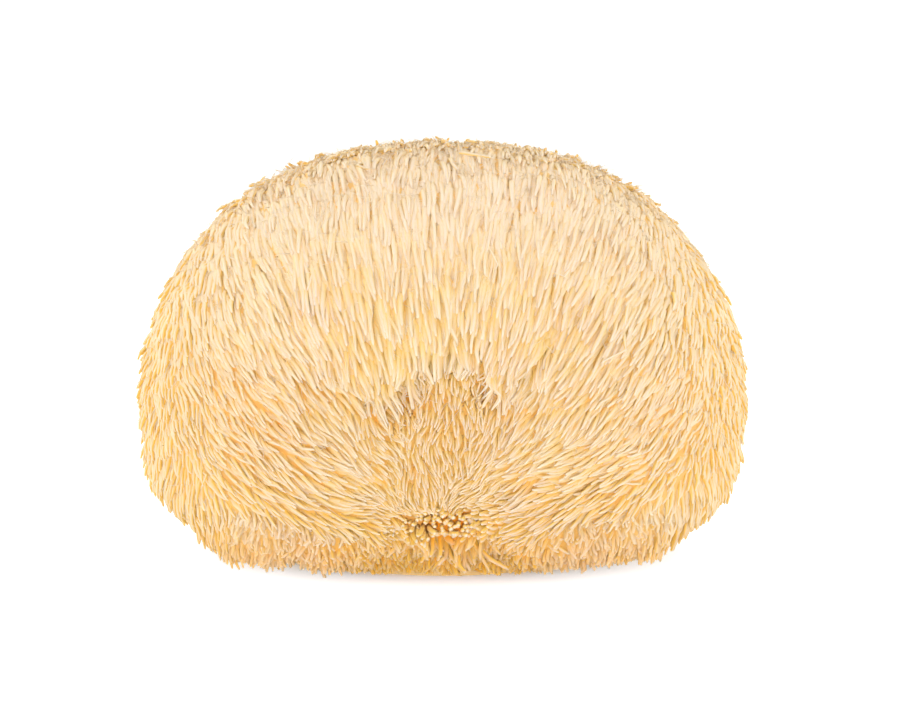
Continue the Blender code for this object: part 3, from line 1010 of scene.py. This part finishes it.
# one mesh of many spines: rings of corners along each path, a point at the tip, a cap at the root
def spineMesh(name, look, paths, side, normals, radii, tints, shades, goldShades):
    steps, sides = np.array(look["rings"] + [1.0]), look["sides"]
    count, ringCount = len(paths), len(steps) - 1
    ahead = unit(np.gradient(paths, axis=1))
    across = unit(side[:, None] - dot(side[:, None], ahead) * ahead)
    upward = np.cross(across, ahead)
    turn = math.pi / 2.0 + np.arange(sides) * 2.0 * math.pi / sides
    circle = (across[:, :ringCount, None] * np.cos(turn)[:, None]
              + upward[:, :ringCount, None] * np.sin(turn)[:, None])
    rings = paths[:, :ringCount, None] + circle * radii[:, :ringCount, None, None]
    perSpine = ringCount * sides + 1
    points = np.concatenate([rings.reshape(count, -1, 3), paths[:, -1:]], axis=1)
    # painted shade: golden on the sides and underneath, pale on top and at the tip
    flankShades = 0.5 - 0.5 * np.sum(circle * normals[:, None, None], axis=-1)
    flankShades *= (1.0 - spine["tipPaleness"] * steps[:-1])[:, None]
    flankShades = np.concatenate([flankShades.reshape(count, -1), np.zeros((count, 1))], axis=1)
    flankShades = flankShades * goldShades[:, None]

    ring, turnIndex = np.meshgrid(np.arange(ringCount - 1), np.arange(sides), indexing="ij")
    ring, turnIndex = ring.ravel(), turnIndex.ravel()
    here, beside = ring * sides + turnIndex, ring * sides + (turnIndex + 1) % sides
    walls = np.stack([here, beside, beside + sides, here + sides], axis=1)
    last = (ringCount - 1) * sides
    tip = np.full(sides, perSpine - 1)
    tips = np.stack([last + np.arange(sides), last + (np.arange(sides) + 1) % sides, tip], axis=1)
    corners = np.concatenate([walls.ravel(), tips.ravel(), np.arange(sides)[::-1]])
    sizes = np.concatenate([np.full(len(walls), 4), np.full(len(tips), 3), [sides]])

    mesh = bpy.data.meshes.new(name)
    mesh.vertices.add(count * perSpine)
    mesh.vertices.foreach_set("co", (points * mm).astype(np.float32).ravel())
    loops = (corners[None] + (np.arange(count) * perSpine)[:, None]).ravel().astype(np.int32)
    mesh.loops.add(len(loops))
    mesh.loops.foreach_set("vertex_index", loops)
    allSizes = np.tile(sizes, count)
    starts = np.concatenate([[0], np.cumsum(allSizes)[:-1]]).astype(np.int32)
    mesh.polygons.add(len(allSizes))
    mesh.polygons.foreach_set("loop_start", starts)
    mesh.update(calc_edges=True)
    mesh.polygons.foreach_set("use_smooth", np.ones(len(allSizes), dtype=bool))
    # each spine has a small cell of the bake map
    rowLength = math.ceil(math.sqrt(count))
    cell = np.stack([np.arange(count) % rowLength, np.arange(count) // rowLength], axis=1)
    uv = (unroll(steps, sides, ring, turnIndex, turn)[None] + cell[:, None]) / rowLength
    mesh.uv_layers.new(name="OFBake").uv.foreach_set("vector", uv.astype(np.float32).ravel())
    along = np.concatenate([np.repeat(steps[:-1], sides), [1.0]])
    addValues(mesh, "along", np.tile(along, count))
    addValues(mesh, "tint", np.repeat(tints, perSpine))
    # painted shade in the folds, and golden painted shade on the sides of each spine
    addValues(mesh, "shade", np.repeat(shades, perSpine))
    addValues(mesh, "flankShade", flankShades)
    mesh.validate()
    piece = bpy.data.objects.new(name, mesh)
    bpy.context.scene.collection.objects.link(piece)
    return piece


creamLook = {
    # from root to tip
    "alongSpine": [(0.0, (0.94, 0.62, 0.13, 1.0)), (0.45, (0.94, 0.76, 0.43, 1.0)),
                   (0.75, (0.94, 0.81, 0.65, 1.0)), (1.0, (0.96, 0.89, 0.80, 1.0))],
    # from one spine to the next
    "eachSpine": [(0.0, (0.97, 0.92, 0.84, 1.0)), (0.5, (0.99, 0.975, 0.95, 1.0)), (1.0, white)],
    # golden painted shade on the sides of the spines and in the gaps
    "flankShade": (1.0, 0.65, 0.025, 1.0),
    "flankShadeShare": 0.8,
    "flankShadeReach": (0.10, 0.44),
    # darker orange painted shade in the folds, the hole and near the floor
    "creaseShadeColour": (1.0, 0.46, 0.03, 1.0),
    "creaseEnd": 0.85,             # of the spine, where its painted shade colour has faded
    "flesh": [(0.3, (0.94, 0.61, 0.15, 1.0)), (0.7, (0.94, 0.66, 0.22, 1.0))],
    "fleshScale": 420.0,
    "patches": [(0.35, (0.99, 0.99, 0.92, 1.0)), (0.65, (0.98, 0.96, 0.97, 1.0))],
    "patchScale": 38.0,
    # axis, from, to, share, colour: painted light makes the sides and crown paler, painted shade
    # makes it warmer at the floor
    "regions": [("X", 0.018, 0.062, 0.85, (0.95, 0.84, 0.66, 1.0)),
                ("Z", 0.060, 0.098, 0.90, (0.95, 0.83, 0.68, 1.0)),
                ("Z", 0.022, 0.003, 0.3, (1.0, 0.49, 0.13, 1.0))],
    "bumpScale": 1400.0,
    # sockets of the shader; rough and matt, so that edges are nearly as bright as the middle
    "surface": {"Roughness": 0.58, "Diffuse Roughness": 1.0, "Specular IOR Level": 0.05,
                "Sheen Weight": 1.0, "Sheen Roughness": 0.5, "Sheen Tint": (1.0, 0.77, 0.40, 1.0)},
    "bump": {"Strength": 0.35, "Distance": 0.15 * mm},
}


# warm and pinkish patches over the whole body, with painted light making it paler towards the
# sides and the crown and painted shade making it warmer near the floor
def mottleAndPaintedLightGroup():
    group = bpy.data.node_groups.new("creamMottleAndPaintedLight", "ShaderNodeTree")
    group.interface.new_socket("Colour", in_out="INPUT", socket_type="NodeSocketColor")
    group.interface.new_socket("Colour", in_out="OUTPUT", socket_type="NodeSocketColor")
    start = group.nodes.new("NodeGroupInput")
    end = group.nodes.new("NodeGroupOutput")
    place = objectPlace(group)
    patches = ramp(group, creamLook["patches"], noise(group, place, creamLook["patchScale"]))
    colour = mixColour(group, "MULTIPLY", 1.0, start.outputs["Colour"], patches)
    split = newNode(group, "SeparateXYZ")
    link(group, place, split.inputs["Vector"])
    for axis, low, high, share, regionColour in creamLook["regions"]:
        value = split.outputs[axis]
        if axis == "X":
            value = calculate(group, "ABSOLUTE", value)
        reach = mapRange(group, value, (low, high), (0.0, share), "SMOOTHSTEP")
        colour = mixColour(group, "MIX", reach, colour, regionColour)
    link(group, colour, end.inputs["Colour"])
    return group


def withMottleAndPaintedLight(tree, group, colour):
    mottleAndPaintedLight = newNode(tree, "Group", node_tree=group)
    if isinstance(colour, tuple):
        mottleAndPaintedLight.inputs["Colour"].default_value = colour
    else:
        link(tree, colour, mottleAndPaintedLight.inputs["Colour"])
    return mottleAndPaintedLight.outputs["Colour"]


# how much golden painted shade the surface has, from its attribute
def golden(tree):
    shares = (0.0, creamLook["flankShadeShare"])
    return mapRange(tree, attribute(tree, "flankShade"), creamLook["flankShadeReach"], shares)


def spineColour(tree, group):
    along = attribute(tree, "along")
    base = ramp(tree, creamLook["alongSpine"], along)
    each = ramp(tree, creamLook["eachSpine"], attribute(tree, "tint"))
    colour = withMottleAndPaintedLight(tree, group, mixColour(tree, "MULTIPLY", 1.0, base, each))
    # golden painted shade on the sides of the spines
    colour = mixColour(tree, "MIX", golden(tree), colour, creamLook["flankShade"])
    # darker orange painted shade, fading from the root towards the tip
    fade = mapRange(tree, along, (0.0, creamLook["creaseEnd"]), (1.0, 0.0))
    share = calculate(tree, "MULTIPLY", attribute(tree, "shade"), fade)
    return mixColour(tree, "MIX", share, colour, creamLook["creaseShadeColour"])


def fleshColour(tree, group):
    grain = noise(tree, objectPlace(tree), creamLook["fleshScale"], 4.0)
    base = ramp(tree, creamLook["flesh"], grain)
    # the more golden painted shade, the more the flesh keeps its base colour, without the patches
    # and the painted light
    colour = mixColour(tree, "MIX", golden(tree), withMottleAndPaintedLight(tree, group, base), base)
    # darker orange painted shade in the folds
    return mixColour(tree, "MIX", attribute(tree, "shade"), colour, creamLook["creaseShadeColour"])


def fuzzColour(tree, group):
    return withMottleAndPaintedLight(tree, group, fuzz["colour"])


def creamMaterial(name, group, makeColour):
    material = bpy.data.materials.new(name)
    material.use_nodes = True
    tree = material.node_tree
    shader = tree.nodes["Principled BSDF"]
    link(tree, makeColour(tree, group), shader.inputs["Base Color"])
    for socket, value in creamLook["surface"].items():
        shader.inputs[socket].default_value = value
    bump = newNode(tree, "Bump", creamLook["bump"])
    grain = noise(tree, objectPlace(tree), creamLook["bumpScale"], 3.0)
    link(tree, grain, bump.inputs["Height"])
    link(tree, bump.outputs["Normal"], shader.inputs["Normal"])
    return material


def countTriangles(piece):
    return sum(len(polygon.vertices) - 2 for polygon in piece.data.polygons)


makeCamera()
makeFloor()
makeLights()
print("camera, floor and lights ready")

fleshPiece = makeFlesh()
mottleAndPaintedLight = mottleAndPaintedLightGroup()
fleshPiece.data.materials.append(creamMaterial("fleshCream", mottleAndPaintedLight, fleshColour))
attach(fleshPiece, "root")
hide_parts("fruiting_body")
print("flesh ready,", len(fleshPiece.data.polygons), "faces")

# the spines are split by their bearing into sectors of equal number
sectors = ["spinesFront", "spinesFrontRight", "spinesBackRight",
           "spinesBack", "spinesBackLeft", "spinesFrontLeft"]
roots = scatter(fleshPiece, 12)
grown = growSpines(fleshPiece, roots)
tints = np.random.default_rng(51).random(len(roots))
looks = (*grown, tints, creaseShade(roots), goldShadeShare(roots))
spineMaterial = creamMaterial("spineCream", mottleAndPaintedLight, spineColour)
bearing = np.arctan2(roots[:, 0], -roots[:, 1]) + math.pi / len(sectors)
sector = np.argsort(np.argsort(bearing % (2.0 * math.pi))) * len(sectors) // len(roots)
for index, name in enumerate(sectors):
    mine = sector == index
    piece = spineMesh(name, spine, *(values[mine] for values in looks))
    piece.data.materials.append(spineMaterial)
    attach(piece, "root")
    print("  ", name, mine.sum(), "spines,", countTriangles(piece), "triangles")
print(len(roots), "spines ready")

grown = growFuzz(fleshPiece)
count = len(grown[0])
piece = spineMesh("fuzz", fuzz, *grown, np.ones(count), np.zeros(count), np.zeros(count))
piece.data.materials.append(creamMaterial("fuzzCream", mottleAndPaintedLight, fuzzColour))
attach(piece, "root")
print(count, "fine hairs ready,", countTriangles(piece), "triangles")
